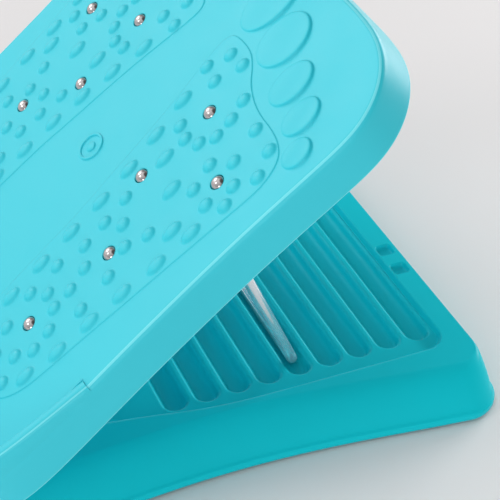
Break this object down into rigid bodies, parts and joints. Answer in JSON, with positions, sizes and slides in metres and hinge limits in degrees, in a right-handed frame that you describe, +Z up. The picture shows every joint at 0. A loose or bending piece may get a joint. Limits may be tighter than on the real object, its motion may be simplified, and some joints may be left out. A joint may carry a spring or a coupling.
{
  "type": "folding foot massage slant board",
  "caption": "Two-foot slant board with nubs and captive steel balls, hinged to a grooved base tray and propped by a bent steel stand.",
  "frame": {"origin": "bottom centre of the assembly's bounding box, on the floor under the rubber feet", "axes": "+X from the hinge (heel) end to the toe end, +Y towards the left foot, +Z up"},
  "size_m": [0.3264, 0.297, 0.2399],
  "materials": {
    "board_plastic": "satin light turquoise moulded plastic",
    "tray_plastic": "satin turquoise moulded plastic",
    "cup_plastic": "plain moulded plastic",
    "ball_steel": "polished steel",
    "rod_chrome": "bright plated rod",
    "rod_steel": "drawn steel pin",
    "screw_steel": "zinc plated",
    "foot_rubber": "soft black rubber",
    "cap_rubber": "black push-on cap"
  },
  "bodies": {
    "base": {"base_tray": "tray_plastic", "rubber_foot_heel_right": "foot_rubber", "rubber_foot_heel_left": "foot_rubber", "rubber_foot_toe_right": "foot_rubber", "rubber_foot_toe_left": "foot_rubber", "hinge_pin": "rod_steel", "hinge_pin_cap_left": "cap_rubber", "hinge_pin_cap_right": "cap_rubber"},
    "board": {"foot_board": "board_plastic", "ball_cup_left_toe_ball": "cup_plastic", "ball_cup_left_arch_front": "cup_plastic", "ball_cup_left_outer_front": "cup_plastic", "ball_cup_left_arch_rear": "cup_plastic", "ball_cup_left_heel": "cup_plastic", "ball_cup_right_toe_ball": "cup_plastic", "ball_cup_right_arch_front": "cup_plastic", "ball_cup_right_outer_front": "cup_plastic", "ball_cup_right_arch_rear": "cup_plastic", "ball_cup_right_heel": "cup_plastic", "stand_saddle_left": "cup_plastic", "stand_saddle_right": "cup_plastic", "saddle_screw_left_heelward": "screw_steel", "saddle_screw_left_toeward": "screw_steel", "saddle_screw_right_heelward": "screw_steel", "saddle_screw_right_toeward": "screw_steel"},
    "stand": {"stand_bail": "rod_chrome"},
    "ball_left_toe_ball": {"massage_ball_left_toe_ball": "ball_steel"},
    "ball_left_arch_front": {"massage_ball_left_arch_front": "ball_steel"},
    "ball_left_outer_front": {"massage_ball_left_outer_front": "ball_steel"},
    "ball_left_arch_rear": {"massage_ball_left_arch_rear": "ball_steel"},
    "ball_left_heel": {"massage_ball_left_heel": "ball_steel"},
    "ball_right_toe_ball": {"massage_ball_right_toe_ball": "ball_steel"},
    "ball_right_arch_front": {"massage_ball_right_arch_front": "ball_steel"},
    "ball_right_outer_front": {"massage_ball_right_outer_front": "ball_steel"},
    "ball_right_arch_rear": {"massage_ball_right_arch_rear": "ball_steel"},
    "ball_right_heel": {"massage_ball_right_heel": "ball_steel"}
  },
  "joints": [
    {"name": "board_tilt", "type": "hinge", "parent": "base", "child": "board", "pos_m": [-0.13476, 0, 0.0312], "axis": [0, -1, 0], "range_deg": [0, 60]},
    {"name": "stand_swing", "type": "hinge", "parent": "board", "child": "stand", "pos_m": [0.00311, 0, 0.15133], "axis": [0, -1, 0], "range_deg": [-60, 0]},
    {"name": "ball_left_toe_ball_roll", "type": "hinge", "parent": "board", "child": "ball_left_toe_ball", "pos_m": [0.02074, 0.053, 0.18167], "axis": [0, 1, 0], "continuous": true},
    {"name": "ball_left_arch_front_roll", "type": "hinge", "parent": "board", "child": "ball_left_arch_front", "pos_m": [-0.0173, 0.0504, 0.15032], "axis": [0, 1, 0], "continuous": true},
    {"name": "ball_left_outer_front_roll", "type": "hinge", "parent": "board", "child": "ball_left_outer_front", "pos_m": [0.00654, 0.0976, 0.16997], "axis": [0, 1, 0], "continuous": true},
    {"name": "ball_left_arch_rear_roll", "type": "hinge", "parent": "board", "child": "ball_left_arch_rear", "pos_m": [-0.04585, 0.0773, 0.12678], "axis": [0, 1, 0], "continuous": true},
    {"name": "ball_left_heel_roll", "type": "hinge", "parent": "board", "child": "ball_left_heel", "pos_m": [-0.09037, 0.0722, 0.09008], "axis": [0, 1, 0], "continuous": true},
    {"name": "ball_right_toe_ball_roll", "type": "hinge", "parent": "board", "child": "ball_right_toe_ball", "pos_m": [0.02074, -0.053, 0.18167], "axis": [0, 1, 0], "continuous": true},
    {"name": "ball_right_arch_front_roll", "type": "hinge", "parent": "board", "child": "ball_right_arch_front", "pos_m": [-0.0173, -0.0504, 0.15032], "axis": [0, 1, 0], "continuous": true},
    {"name": "ball_right_outer_front_roll", "type": "hinge", "parent": "board", "child": "ball_right_outer_front", "pos_m": [0.00654, -0.0976, 0.16997], "axis": [0, 1, 0], "continuous": true},
    {"name": "ball_right_arch_rear_roll", "type": "hinge", "parent": "board", "child": "ball_right_arch_rear", "pos_m": [-0.04585, -0.0773, 0.12678], "axis": [0, 1, 0], "continuous": true},
    {"name": "ball_right_heel_roll", "type": "hinge", "parent": "board", "child": "ball_right_heel", "pos_m": [-0.09037, -0.0722, 0.09008], "axis": [0, 1, 0], "continuous": true}
  ],
  "couplings": [
    {"joint": "stand_swing", "follows": "board_tilt", "ratio": -1}
  ]
}
